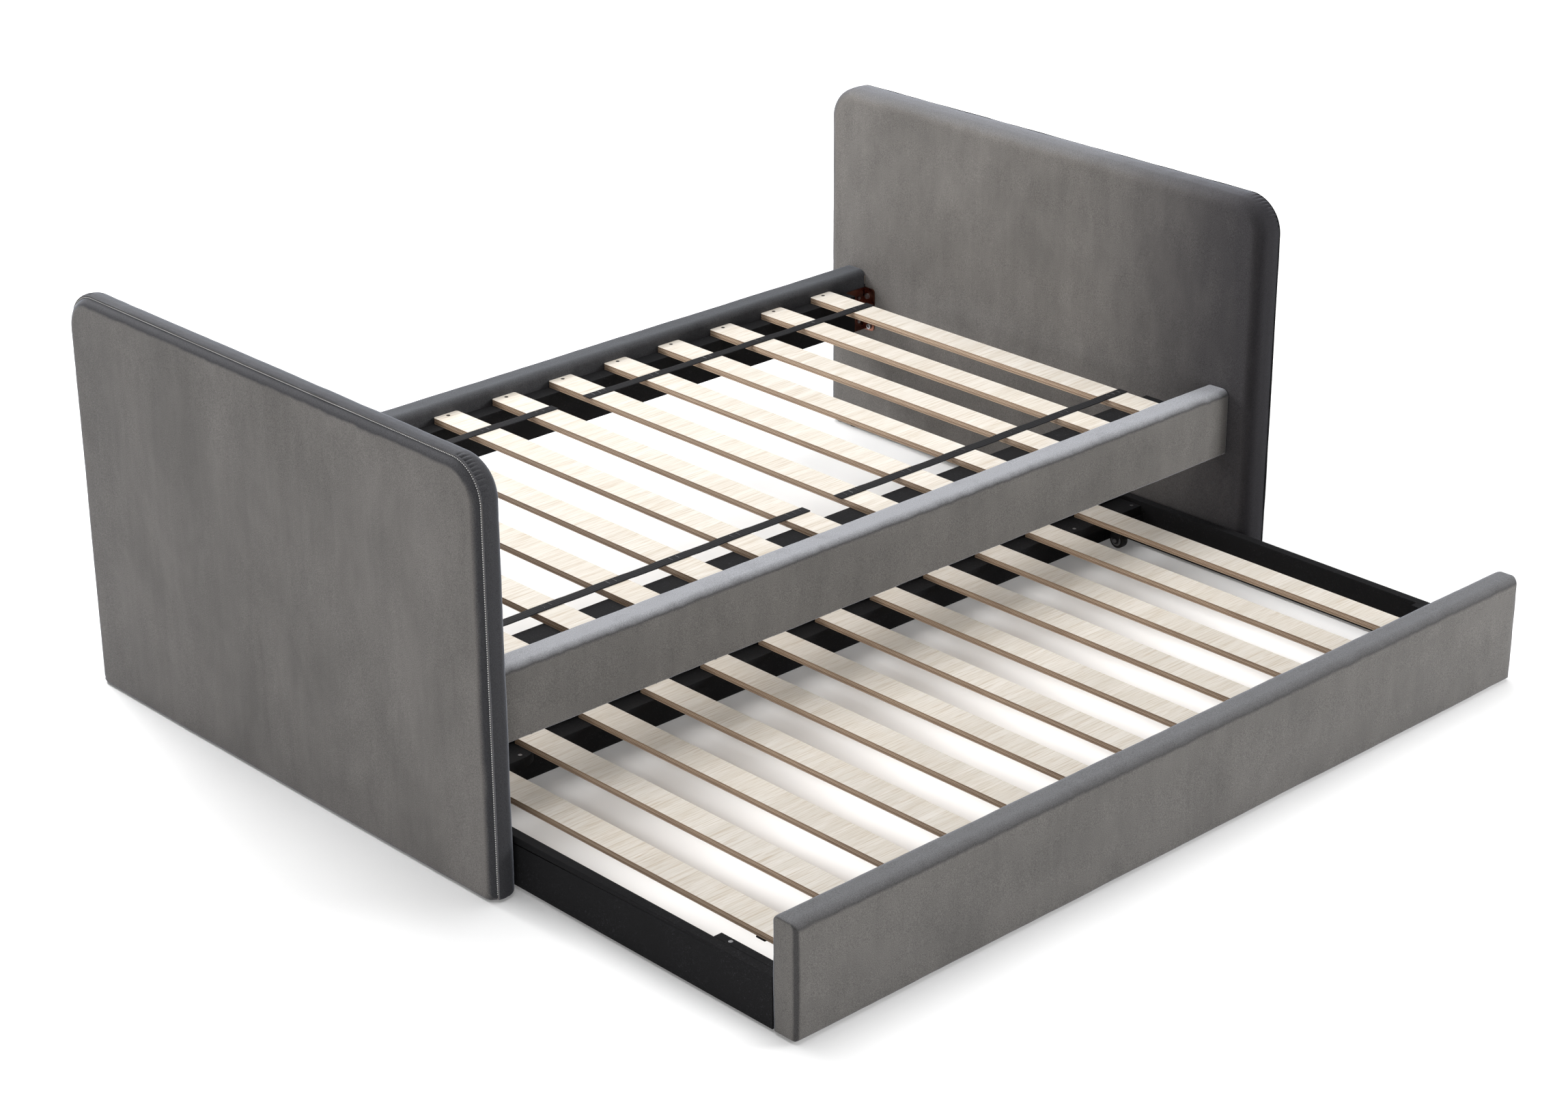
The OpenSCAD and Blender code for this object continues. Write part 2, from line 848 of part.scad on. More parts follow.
// Grey hub, dished on both faces, running on the axle
module hub(corner) {
    boss_r = axle_r + 2.5;
    rim_t = 2.5;
    place = caster_place(corner);
    color(GREY) translate([place.x, place.y, wheel_r])
        rotate([0, 90, 0]) difference() {
            cylinder(h = wheel_w, r = hub_r, center = true);
            cylinder(h = wheel_w + 1, r = axle_r + axle_fit, center = true);
            for (side = [-1, 1]) {
                translate([0, 0, side * (wheel_w / 2 - hub_recess / 2 + eps)]) difference() {
                    cylinder(h = hub_recess, r = hub_r - rim_t, center = true);
                    cylinder(h = hub_recess, r = boss_r, center = true);
                }
            }
        }
}

placed() {
    footboard_frame();
    footboard_skins();
    footboard_foam();
    footboard_cover();
    footboard_face();
    headboard_frame();
    headboard_skins();
    headboard_foam();
    headboard_cover();
    headboard_backing();
    floor_glides();
    insert_nuts();
    front_rail_core();
    front_rail_cover();
    front_rail_liner();
    back_rail_core();
    back_rail_cover();
    back_rail_liner();
    front_cleat();
    back_cleat();
    cleat_screws();
    corner_brackets();
    bracket_bolts();
    bracket_screws();
    foot_slats();
    head_slats();
    slat_screws();
    foot_front_strap();
    foot_back_strap();
    head_front_strap();
    head_back_strap();
    strap_staples();
    trundle_panel_core();
    trundle_panel_cover();
    trundle_foot_side();
    trundle_head_side();
    trundle_back_board();
    trundle_back_ledge();
    trundle_front_cleat();
    trundle_back_blocks();
    trundle_front_blocks();
    trundle_screws();
    trundle_foot_slats();
    trundle_head_slats();
    trundle_slat_screws();
    trundle_strap();
    caster_blocks();
    caster_forks();
    caster_axles();
    caster_screws();
    for (corner = CORNERS) {
        tyre(corner);
        hub(corner);
    }
}
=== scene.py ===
"""Twin trundle bed: velvet end boards and rails, slatted bases, and a trundle on fixed casters."""

import math

import bpy
import numpy as np
from mathutils import Matrix, Vector, noise


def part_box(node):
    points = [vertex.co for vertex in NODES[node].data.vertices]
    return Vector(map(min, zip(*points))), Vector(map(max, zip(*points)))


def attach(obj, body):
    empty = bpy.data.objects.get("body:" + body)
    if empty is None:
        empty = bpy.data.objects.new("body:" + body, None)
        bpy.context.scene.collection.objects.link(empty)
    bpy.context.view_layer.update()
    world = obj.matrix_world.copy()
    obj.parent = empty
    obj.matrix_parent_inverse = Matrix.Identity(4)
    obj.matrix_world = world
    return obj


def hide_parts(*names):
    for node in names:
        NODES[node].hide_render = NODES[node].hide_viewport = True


MM = 0.001

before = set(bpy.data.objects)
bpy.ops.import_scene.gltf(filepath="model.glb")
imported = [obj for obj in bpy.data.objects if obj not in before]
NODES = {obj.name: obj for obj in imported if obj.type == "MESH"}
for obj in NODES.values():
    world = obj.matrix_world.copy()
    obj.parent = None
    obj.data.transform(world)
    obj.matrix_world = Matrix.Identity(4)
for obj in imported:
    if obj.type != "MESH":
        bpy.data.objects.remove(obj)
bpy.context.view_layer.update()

# ------------------------------------------------------------------ camera

CAMERA_AT = Vector((-4.0565, -4.2258, 2.8308))
CAMERA_HEADING = math.radians(46.741)
CAMERA_PITCH = math.radians(-23.698)
CAMERA_ROLL = math.radians(-0.275)
CAMERA_LENS = 76.137
SENSOR = 36.0

scene = bpy.context.scene
camera = bpy.data.objects.new("camera", bpy.data.cameras.new("camera"))
camera.data.sensor_width = SENSOR
camera.data.lens = CAMERA_LENS
camera.data.clip_end = 200.0
camera.matrix_world = (
    Matrix.Translation(CAMERA_AT)
    @ Matrix.Rotation(CAMERA_HEADING - math.pi / 2, 4, "Z")
    @ Matrix.Rotation(math.pi / 2 + CAMERA_PITCH, 4, "X")
    @ Matrix.Rotation(CAMERA_ROLL, 4, "Z")
)
scene.collection.objects.link(camera)
scene.camera = camera
scene.view_settings.view_transform = "Standard"


# ------------------------------------------------------------------ materials


class Shader:
    """A material's node tree with a Principled shader, and short ways to add nodes to it."""

    def __init__(self, name, **sockets):
        self.material = bpy.data.materials.new(name)
        self.material.use_nodes = True
        self.tree = self.material.node_tree
        self.surface = self.tree.nodes["Principled BSDF"]
        self.put(self.surface, sockets)
        self.place = self.add("ShaderNodeTexCoord").outputs["Object"]

    def put(self, node, sockets):
        """Sets a node's sockets by name, each from a number or colour or from another node's output."""
        for name, value in sockets.items():
            socket = node.inputs[name.replace("_", " ")]
            if isinstance(value, bpy.types.NodeSocket):
                self.tree.links.new(value, socket)
            else:
                socket.default_value = value

    def add(self, kind, sockets=None, **settings):
        node = self.tree.nodes.new(kind)
        for name, value in settings.items():
            setattr(node, name, value)
        self.put(node, sockets or {})
        return node

    def stretched(self, scale):
        """Object coordinates in metres, multiplied by that much along each axis."""
        sockets = {"Vector": self.place, "Scale": scale}
        return self.add("ShaderNodeMapping", sockets).outputs["Vector"]

    def noise(self, scale, detail=3.0, roughness=0.5, distortion=0.0):
        """Noise of that many cells per metre along each axis."""
        sockets = {
            "Vector": self.stretched(scale),
            "Scale": 1.0,
            "Detail": detail,
            "Roughness": roughness,
            "Distortion": distortion,
        }
        return self.add("ShaderNodeTexNoise", sockets).outputs["Fac"]

    def chance(self, value):
        """A random number from 0 to 1 for each value."""
        sockets = {"W": value}
        return self.add("ShaderNodeTexWhiteNoise", sockets, noise_dimensions="1D").outputs["Value"]

    def weave(self, direction, scale, distortion):
        """Even bands that follow one another along X or Y."""
        sockets = {"Vector": self.place, "Scale": scale, "Distortion": distortion, "Detail": 1.0}
        return self.add("ShaderNodeTexWave", sockets, bands_direction=direction).outputs["Fac"]

    def mix(self, factor, first, second, blend="MIX"):
        """A blend of two colours, each a tuple or a node's output."""
        node = self.add("ShaderNodeMix", data_type="RGBA", blend_type=blend)
        for socket, value in ((0, factor), (6, first), (7, second)):
            if isinstance(value, bpy.types.NodeSocket):
                self.tree.links.new(value, node.inputs[socket])
            elif isinstance(value, tuple):
                node.inputs[socket].default_value = (*value, 1.0)
            else:
                node.inputs[socket].default_value = value
        return node.outputs[2]

    def math(self, operation, first, second=0.0, third=0.0):
        node = self.add("ShaderNodeMath", operation=operation)
        for socket, value in enumerate((first, second, third)):
            if isinstance(value, bpy.types.NodeSocket):
                self.tree.links.new(value, node.inputs[socket])
            else:
                node.inputs[socket].default_value = value
        return node.outputs[0]

    def span(self, value, low, high, to_low=0.0, to_high=1.0):
        """The value's place between low and high, as a number from to_low to to_high."""
        sockets = {
            "Value": value,
            "From Min": low,
            "From Max": high,
            "To Min": to_low,
            "To Max": to_high,
        }
        return self.add("ShaderNodeMapRange", sockets).outputs["Result"]

    def axes(self, vector=None):
        """The three parts of a vector, or of the object coordinates."""
        return self.add("ShaderNodeSeparateXYZ", {"Vector": vector or self.place}).outputs

    def bump(self, height, distance, strength=1.0, under=None):
        sockets = {"Height": height, "Distance": distance, "Strength": strength}
        if under is not None:
            sockets["Normal"] = under
        return self.add("ShaderNodeBump", sockets).outputs["Normal"]

    def finish(self, **sockets):
        self.put(self.surface, sockets)
        return self.material


def velvet(name, dark, light, flank_painted_shade=None, crest_painted_light=None, side=None, edge=None, fade_painted_shade=None):
    """Short-pile velvet: cloudy nap in faint upright streaks, fine pile, and a cool bloom at its edges.

    Painted light where the cloth turns, chosen by its shading normal: flank is painted shade just below a
    top edge, crest is painted light on top of it, a highlight where its colour is lighter than the face
    and shade where darker, side is painted shade where it faces along Y, and edge is painted shade where
    it turns from Y to X.
    fade is (y from, y to, shade): painted shade that deepens from the first y to the second."""
    s = Shader(
        name,
        Roughness=0.85,
        Specular_IOR_Level=0.10,
        Sheen_Weight=0.45,
        Sheen_Roughness=0.30,
        Sheen_Tint=(0.80, 0.86, 1.0, 1.0),
    )
    clouds = s.noise((5.0, 5.0, 3.6), detail=5.0, roughness=0.60, distortion=0.5)
    smudges = s.noise((22.0, 22.0, 9.0), detail=4.0, roughness=0.60, distortion=0.3)
    streaks = s.noise((70.0, 70.0, 4.0), detail=3.0, roughness=0.5)
    pile = s.noise((700.0, 700.0, 620.0), detail=2.0, roughness=0.8)
    nap = s.math("MULTIPLY_ADD", smudges, 0.30, s.math("MULTIPLY", clouds, 0.58))
    nap = s.math("MULTIPLY_ADD", streaks, 0.12, nap)
    base = s.mix(s.span(nap, 0.38, 0.62), dark, light)

    along, across, up = s.axes(s.add("ShaderNodeNewGeometry").outputs["Normal"])
    wander = s.span(smudges, 0.3, 0.7, -0.10, 0.10)
    up = s.math("ADD", up, wander)
    # Painted shade on the flank and painted light on the crest, by how far the shading normal points up
    if flank_painted_shade:
        base = s.mix(s.span(up, 0.08, 0.36), base, flank_painted_shade)
    if crest_painted_light:
        base = s.mix(s.span(up, 0.36, 0.98), base, crest_painted_light)
    # Painted shade that darkens the cloth towards its front edge
    if fade_painted_shade:
        start, end, shade = fade_painted_shade
        y = s.math("MULTIPLY_ADD", wander, 0.25, s.axes()[1])
        base = s.mix(s.span(y, start, end), base, shade)
    # Painted shade where the cloth faces along Y
    if side:
        turned = s.math("ADD", s.math("ABSOLUTE", across), wander)
        base = s.mix(s.span(turned, 0.10, 0.80), base, side)
    # Painted shade where the cloth turns from Y to X
    if edge:
        both = s.math("ABSOLUTE", s.math("MULTIPLY", along, across))
        base = s.mix(s.span(both, 0.12, 0.42), base, edge)

    speckle = s.span(pile, 0.25, 0.75, 0.52, 1.48)
    colour = s.mix(1.0, base, speckle, blend="MULTIPLY")
    soft = s.bump(smudges, 2.0 * MM, 0.3)
    fine = s.bump(pile, 0.4 * MM, 0.6, soft)
    return s.finish(Base_Color=colour, Normal=fine)


# Plies in a slat's thickness
PLIES = 5.0
# One shade of veneer for each stretch of this length along X, half the distance from slat to slat
SHADE_STEP = 0.0757


def slat_wood(name, bottom_z, thickness):
    """Pale plywood: face veneer with its grain along X, and ply lines on the cut edges."""
    s = Shader(name, Roughness=0.55, Specular_IOR_Level=0.3)
    x, _, z = s.axes()
    facing = s.axes(s.add("ShaderNodeNewGeometry").outputs["Normal"])[2]

    fibres = s.noise((9.0, 380.0, 9.0), detail=4.0, roughness=0.75, distortion=0.25)
    bands = s.noise((2.2, 45.0, 2.2), detail=2.0)
    slat = s.chance(s.math("SNAP", x, SHADE_STEP))
    veneer = s.mix(s.span(bands, 0.35, 0.65), (0.555, 0.520, 0.465), (0.625, 0.592, 0.545))
    veneer = s.mix(s.span(slat, 0.0, 1.0, 0.0, 0.30), veneer, (0.57, 0.515, 0.44))
    veneer = s.mix(s.span(fibres, 0.52, 0.34), veneer, (0.43, 0.36, 0.28))

    wander = s.math("MULTIPLY_ADD", s.noise((4.0, 4.0, 4.0), detail=1.0), 1.0 * MM, z)
    ply = s.span(wander, bottom_z + 0.5 * MM, bottom_z + thickness + 0.5 * MM, 0.0, PLIES)
    grain = s.noise((30.0, 7.0, 900.0), detail=3.0, roughness=0.7, distortion=0.3)
    plies = s.mix(s.chance(s.math("FLOOR", ply)), (0.40, 0.28, 0.185), (0.66, 0.51, 0.37))
    plies = s.mix(s.span(grain, 0.45, 0.7, 0.0, 0.7), plies, (0.17, 0.09, 0.055))
    from_line = s.math("PINGPONG", ply, 0.5)
    plies = s.mix(s.span(from_line, 0.17, 0.10), plies, (0.060, 0.030, 0.020))

    top = s.span(facing, 0.55, 0.8)
    underside = s.span(facing, -0.55, -0.8)
    colour = s.mix(top, plies, veneer)
    colour = s.mix(underside, colour, (0.55, 0.42, 0.29))
    return s.finish(Base_Color=colour, Normal=s.bump(fibres, 0.15 * MM, 0.5))


def black_cloth(name, shade=0.006, fleck=0.070):
    """Thin non-woven cloth stretched over a board, with paler stray fibres."""
    s = Shader(name, Roughness=0.85, Specular_IOR_Level=0.15)
    fibres = s.noise((260.0, 260.0, 260.0), detail=5.0, roughness=0.75, distortion=1.6)
    patches = s.noise((14.0, 14.0, 14.0), detail=3.0)
    flecks = s.math("MULTIPLY", s.span(fibres, 0.56, 0.74), s.span(patches, 0.3, 0.75))
    cool = (shade, shade, shade * 1.12)
    colour = s.mix(flecks, cool, (fleck, fleck, fleck * 1.15))
    return s.finish(Base_Color=colour, Normal=s.bump(fibres, 0.5 * MM, 0.6))


def webbing(name):
    """Flat woven webbing: ribs along its length and a fine crossing weave."""
    s = Shader(name, Roughness=0.75, Specular_IOR_Level=0.2)
    across = s.weave("Y", 55.0, 0.4)
    along = s.weave("X", 110.0, 0.3)
    weave = s.math("MULTIPLY", across, s.span(along, 0.0, 1.0, 0.6, 1.0))
    fuzz = s.noise((500.0, 500.0, 500.0), detail=2.0)
    colour = s.mix(s.math("MULTIPLY", weave, fuzz), (0.005, 0.005, 0.006), (0.026, 0.026, 0.029))
    return s.finish(Base_Color=colour, Normal=s.bump(weave, 0.4 * MM, 0.8))


def metal(name, colour, worn, roughness):
    """Plated steel with a faintly uneven plating."""
    s = Shader(name, Metallic=1.0)
    cloud = s.noise((40.0, 40.0, 40.0), detail=4.0, roughness=0.6)
    fine = s.noise((900.0, 900.0, 900.0), detail=2.0)
    tint = s.mix(s.span(cloud, 0.35, 0.65), colour, worn)
    rough = s.span(cloud, 0.3, 0.7, roughness * 0.8, roughness * 1.25)
    return s.finish(Base_Color=tint, Roughness=rough, Normal=s.bump(fine, 0.05 * MM, 0.4))


def moulded(name, dark, light, roughness):
    """Moulded plastic or rubber with a fine matt texture and a little dust."""
    s = Shader(name, Specular_IOR_Level=0.4)
    grain = s.noise((1100.0, 1100.0, 1100.0), detail=2.0)
    dust = s.noise((55.0, 55.0, 55.0), detail=4.0, roughness=0.65)
    tint = s.mix(s.span(dust, 0.4, 0.75), dark, light)
    rough = s.span(dust, 0.3, 0.7, roughness * 0.9, min(1.0, roughness * 1.2))
    return s.finish(Base_Color=tint, Roughness=rough, Normal=s.bump(grain, 0.08 * MM, 0.5))


def sawn_timber(name, dark, light, stretch):
    """Softwood with growth rings drawn out along the member."""
    s = Shader(name, Roughness=0.7, Specular_IOR_Level=0.2)
    rings = s.noise(stretch, detail=4.0, roughness=0.6, distortion=0.8)
    fibre = s.noise(tuple(6.0 * a for a in stretch), detail=3.0)
    colour = s.mix(s.span(rings, 0.35, 0.65), dark, light)
    colour = s.mix(s.span(fibre, 0.5, 0.8, 0.0, 0.4), colour, dark)
    return s.finish(Base_Color=colour, Normal=s.bump(fibre, 0.3 * MM, 0.6))


def thread(name):
    """Twisted sewing thread, pale grey."""
    s = Shader(name, Roughness=0.5, Sheen_Weight=0.3)
    twist = s.noise((700.0, 700.0, 700.0), detail=1.0)
    colour = s.mix(s.span(twist, 0.3, 0.7), (0.60, 0.60, 0.60), (0.85, 0.85, 0.85))
    return s.finish(Base_Color=colour, Normal=s.bump(twist, 0.2 * MM, 0.6))


def floor_paint(name):
    """Near-white studio floor, very slightly uneven, that glows to white far from the bed, and glows
    faintly near it as painted light that lifts the shadows round the bed.
    """
    s = Shader(name, Roughness=0.6, Specular_IOR_Level=0.2, Emission_Color=(1.0, 1.0, 1.0, 1.0))
    distance = s.add("ShaderNodeVectorMath", {"Vector": s.place}, operation="LENGTH").outputs["Value"]
    trowel = s.noise((2.5, 2.5, 2.5), detail=4.0, roughness=0.55, distortion=0.6)
    colour = s.mix(s.span(trowel, 0.3, 0.7), (0.86, 0.86, 0.86), (0.89, 0.89, 0.89))
    # Emission of 0.10 by the bed is painted light on the floor's shadows; it rises to 1.0 far away, where
    # the floor is the white backdrop
    return s.finish(Base_Color=colour, Emission_Strength=s.span(distance, 1.6, 6.0, 0.10, 1.0))


# Each velvet's darkest and lightest nap: the end boards' own colour, a darker copy of it that is painted
# shade on the rails and trundle panel, and a darker, cooler copy that is painted shade on the back rail
WARM = ((0.120, 0.113, 0.107), (0.158, 0.149, 0.141))
WARM_PAINTED_SHADE = ((0.102, 0.097, 0.092), (0.134, 0.127, 0.120))
COOL_PAINTED_SHADE = ((0.046, 0.046, 0.049), (0.068, 0.068, 0.072))
# Painted light in these velvets: the crest colours are painted sheen on top of the rails, back rail,
# trundle panel and headboard, and painted shade on the footboard's top band; the flank, side and edge
# colours are painted shade, and the headboard's fade is painted shade towards its front edge
VELVET_RAIL = velvet("velvet_rail", *WARM_PAINTED_SHADE, flank_painted_shade=(0.062, 0.060, 0.061), crest_painted_light=(0.250, 0.254, 0.268))
VELVET_SHADED = velvet("velvet_shaded", *COOL_PAINTED_SHADE, crest_painted_light=(0.066, 0.068, 0.073))
VELVET_PANEL = velvet(
    "velvet_panel",
    *WARM_PAINTED_SHADE,
    flank_painted_shade=(0.062, 0.060, 0.060),
    crest_painted_light=(0.116, 0.116, 0.120),
    edge=(0.048, 0.046, 0.046),
)
VELVET_FOOT = velvet(
    "velvet_footboard",
    *WARM,
    flank_painted_shade=(0.052, 0.051, 0.054),
    crest_painted_light=(0.062, 0.062, 0.066),
    side=(0.034, 0.034, 0.037),
)
# A lighter velvet for the footboard's seam lip: a painted highlight along the seam
VELVET_LIP_HIGHLIGHT = velvet("velvet_seam_lip_painted_highlight", (0.062, 0.062, 0.066), (0.092, 0.092, 0.098))
VELVET_HEAD = velvet(
    "velvet_headboard",
    *WARM,
    crest_painted_light=(0.135, 0.135, 0.141),
    side=(0.017, 0.016, 0.018),
    fade_painted_shade=(0.22, -0.24, (0.044, 0.042, 0.045)),
)
BLACK_CLOTH = black_cloth("black_cloth")
WRAPPED_BOARD = black_cloth("cloth_wrapped_board")
WEBBING = webbing("webbing")
ZINC = metal("zinc", (0.24, 0.24, 0.25), (0.40, 0.40, 0.41), 0.40)
BRONZE = metal("bronze_zinc", (0.13, 0.050, 0.038), (0.24, 0.105, 0.070), 0.30)
BLACK_SCREW = metal("black_screw", (0.035, 0.033, 0.035), (0.060, 0.056, 0.056), 0.45)
BLACK_PLASTIC = moulded("black_plastic", (0.014, 0.014, 0.015), (0.032, 0.032, 0.033), 0.45)
TYRE = moulded("tyre_rubber", (0.013, 0.013, 0.013), (0.040, 0.039, 0.038), 0.7)
HUB = moulded("grey_plastic", (0.24, 0.25, 0.27), (0.36, 0.37, 0.39), 0.45)
TIMBER = sawn_timber("timber", (0.44, 0.29, 0.16), (0.62, 0.45, 0.28), (6.0, 60.0, 60.0))
SKIN_PLY = sawn_timber("plywood_skin", (0.42, 0.28, 0.16), (0.58, 0.42, 0.26), (60.0, 6.0, 8.0))
THREAD = thread("thread")


# ------------------------------------------------------------------ mesh helpers


def new_piece(name, points, faces, body, material):
    """A smooth-shaded mesh that rides on a body, with the material given."""
    mesh = bpy.data.meshes.new(name)
    mesh.from_pydata([tuple(p) for p in points], [], faces)
    mesh.polygons.foreach_set("use_smooth", [True] * len(faces))
    mesh.materials.append(material)
    mesh.update()
    piece = bpy.data.objects.new(name, mesh)
    scene.collection.objects.link(piece)
    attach(piece, body)
    return piece


def ring_faces(ring_count, around, first=0, closed=True):
    """Quads between rings of points that follow one another in the point list."""
    last = around if closed else around - 1
    faces = []
    for r in range(ring_count - 1):
        a = first + r * around
        b = a + around
        for i in range(last):
            j = (i + 1) % around
            faces.append((a + i, a + j, b + j, b + i))
    return faces


def skin_over(rings, cap_start=True, cap_end=True, flip=False):
    """Points and faces of a tube over closed rings, its ends filled from their centres."""
    around = len(rings[0])
    points = np.concatenate(rings)
    faces = ring_faces(len(rings), around)
    if cap_start:
        points = np.vstack([points, rings[0].mean(0)])
        centre = len(points) - 1
        faces += [(centre, (i + 1) % around, i) for i in range(around)]
    if cap_end:
        base = (len(rings) - 1) * around
        points = np.vstack([points, rings[-1].mean(0)])
        centre = len(points) - 1
        faces += [(centre, base + i, base + (i + 1) % around) for i in range(around)]
    if flip:
        faces = [tuple(reversed(f)) for f in faces]
    return points, faces


def ruffle(piece, amount, size, stretch=(1.0, 1.0, 1.0), seed=0.0):
    """Moves a surface in and out along its normals by smooth noise, as hand-pulled cloth lies."""
    mesh = piece.data
    scale = Vector([1.0 / (size * s) for s in stretch])
    offset = Vector((seed, 2.7 * seed, -1.3 * seed))
    moved = []
    for v in mesh.vertices:
        wave = noise.noise(v.co * scale + offset)
        fine = noise.noise(v.co * scale * 2.7 - offset)
        moved.append(v.co + v.normal * amount * (wave + 0.4 * fine))
    for v, co in zip(mesh.vertices, moved):
        v.co = co
    mesh.update()


def eased(value, low, high):
    """0 below low and 1 above high, with a smooth change between."""
    t = np.clip((np.asarray(value, float) - low) / (high - low), 0.0, 1.0)
    return t * t * (3.0 - 2.0 * t)


class Outline:
    """The closed outline of a board or rail seen along its length or thickness.

    It stands on up = 0 and is centred on across = 0. Every inset has the same number of points, so that
    rings at different insets join up. turn runs from 0 to 1 round each top corner and is -1 elsewhere."""

    def __init__(self, width, height, top_r, low_r, step, corner_points, low_points=10, least_r=1.5 * MM):
        self.width, self.height = width, height
        self.top_r, self.low_r, self.least_r = top_r, low_r, least_r
        self.flat = max(4, int(width / step / 2))
        self.tall = max(4, int(height / step))
        self.corner, self.low = corner_points, low_points
        self.sides = self._sides()
        self.turn = self._turn()

    def _sides(self):
        """How many points each side or corner has, and which way it faces, from the foot's middle."""
        down, right, up, left = (0, -1), (1, 0), (0, 1), (-1, 0)
        return [
            (self.flat, down),
            (self.low, (down, right)),
            (self.tall, right),
            (self.corner, (right, up)),
            (2 * self.flat, up),
            (self.corner, (up, left)),
            (self.tall, left),
            (self.low, (left, down)),
            (self.flat, down),
        ]

    def _turn(self):
        parts = []
        for i, (count, _) in enumerate(self.sides):
            share = np.arange(count) / count
            parts.append(share if i == 3 else 1.0 - share if i == 5 else -np.ones(count))
        return np.concatenate(parts)

    def ring(self, inset, grow=0.0):
        """(across, up) of each point at that inset; grow gives the top and foot back that much."""
        top_r = max(self.top_r - inset, self.least_r)
        low_r = max(self.low_r - inset, self.least_r)
        half, low, top = self.width / 2 - inset, inset - grow, self.height - inset + grow
        corners = [
            (half - low_r, low + low_r, low_r, -90.0),
            (half - top_r, top - top_r, top_r, 0.0),
            (-half + top_r, top - top_r, top_r, 90.0),
            (-half + low_r, low + low_r, low_r, 180.0),
        ]
        runs = [
            ((0.0, low), (half - low_r, low)),
            ((half, low + low_r), (half, top - top_r)),
            ((half - top_r, top), (-half + top_r, top)),
            ((-half, top - top_r), (-half, low + low_r)),
            ((-half + low_r, low), (0.0, low)),
        ]
        parts = []
        for i, (count, _) in enumerate(self.sides):
            share = np.arange(count)[:, None] / count
            if i % 2 == 0:
                start, end = np.array(runs[i // 2])
                parts.append(start + (end - start) * share)
            else:
                x, y, r, from_angle = corners[i // 2]
                angle = np.radians(from_angle + 90.0 * share[:, 0])
                parts.append(np.stack([x + r * np.cos(angle), y + r * np.sin(angle)], 1))
        return np.concatenate(parts)

    def normals(self):
        """The outward (across, up) direction at each point."""
        parts = []
        for count, facing in self.sides:
            if np.ndim(facing) == 1:
                parts.append(np.tile(np.array(facing, float), (count, 1)))
            else:
                start, end = np.array(facing, float)
                angle = np.pi / 2 * np.arange(count)[:, None] / count
                parts.append(start * np.cos(angle) + end * np.sin(angle))
        return np.concatenate(parts)


# ------------------------------------------------------------------ end boards

BOARD_STEP = 8.0 * MM
TOP_CORNER = 75.0 * MM
LOW_CORNER = 6.0 * MM
INNER_ROUND = 27.0 * MM
SEAM_DEPTH = 46.0 * MM
SEAM_IN = 1.2 * MM
STITCH_IN = 4.6 * MM
SWELL_IN = 6.0 * MM
STITCH_PITCH = 4.2 * MM
GATHERS = 13
# Insets in millimetres of the inner face's outer rings, down to where the foam's round begins
INNER_INSETS = (60.0, 52.0, 45.0, 39.0, 34.0, 30.0)
# Insets in millimetres of the outer panel's rings: over the lip, the stitched groove and the swell
PANEL_INSETS = (
    *(0.9, 1.4, 1.9, 2.4, 3.0, 3.8, 4.6, 5.3, 6.0, 6.6, 7.4, 8.4, 9.5, 10.8, 12.2, 14.0, 16.0),
    *(18.0, 20.5, 23.0, 26.0, 31.0, 38.0, 46.0, 55.0, 64.0, 72.0),
)
# The outer panel's rows of faces that are its seam lip, which take a lighter velvet as a painted highlight
LIP_ROWS = (2, 6)


class Board:
    """One end board: where its CAD cover stands, and how (across, up, depth) maps into the row frame."""

    def __init__(self, name, body="bed"):
        lo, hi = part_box(name + "_cover")
        self.name, self.body = name, body
        self.centre_y = (lo.y + hi.y) / 2
        self.foot_z = lo.z
        self.thickness = hi.x - lo.x
        self.inner_x = hi.x if lo.x < 0 else lo.x
        self.away = -1.0 if lo.x < 0 else 1.0
        self.outline = Outline(hi.y - lo.y, hi.z - lo.z, TOP_CORNER, LOW_CORNER, BOARD_STEP, 120)

    def place(self, ring, depth):
        """Row-frame points of an outline ring; depth is measured from the inner face outward."""
        depth = np.broadcast_to(depth, len(ring))
        x = self.inner_x + self.away * depth
        return np.stack([x, self.centre_y + ring[:, 0], self.foot_z + ring[:, 1]], 1)

    def piece(self, suffix, rings, material, slot, **caps):
        points, faces = skin_over(rings, flip=self.away < 0, **caps)
        return new_piece(self.name + suffix, points, faces, self.body, material)


def shrunk_rings(board, ring, depth_of, count=26):
    """Rings that close in on a board's middle from one outline ring."""
    centre = np.array([0.0, board.outline.height / 2])
    rings = []
    for i in range(1, count):
        share = 1.0 - (i / count) ** 1.25
        inner = centre + (ring - centre) * share
        rings.append(board.place(inner, depth_of(inner)))
    return rings


def inner_face_depth(board):
    """The foam's crown over the part of the inner face above the mattress, in minus depth."""
    half, height = board.outline.width / 2, board.outline.height

    def depth(ring):
        upright = eased(ring[:, 1], 0.50 * height, 0.72 * height) * eased(height - ring[:, 1], 0.0, 0.2)
        sideways = eased(half - np.abs(ring[:, 0]), 0.0, 0.2)
        return -2.5 * MM * upright * sideways

    return depth


def gathers(outline, seam_distance, depth, length, seed):
    """How far the cloth is drawn in round the top corners, at that distance from the gathered seam."""
    turn = outline.turn
    phase = turn * GATHERS + 0.23 * np.sin(seed + 9.0 * turn) + 0.02 * seed
    reach = length * (1.0 + 0.3 * np.sin(17.0 * turn + seed) + 0.15 * np.sin(41.0 * turn))
    crease = 1.0 - np.abs(np.sin(np.pi * phase)) ** 0.8
    near = np.exp(-((seam_distance / reach) ** 1.6))
    window = eased(turn, 0.06, 0.22) * eased(1.0 - turn, 0.0, 0.14)
    return np.where(turn < 0, 0.0, depth * crease * near * window)


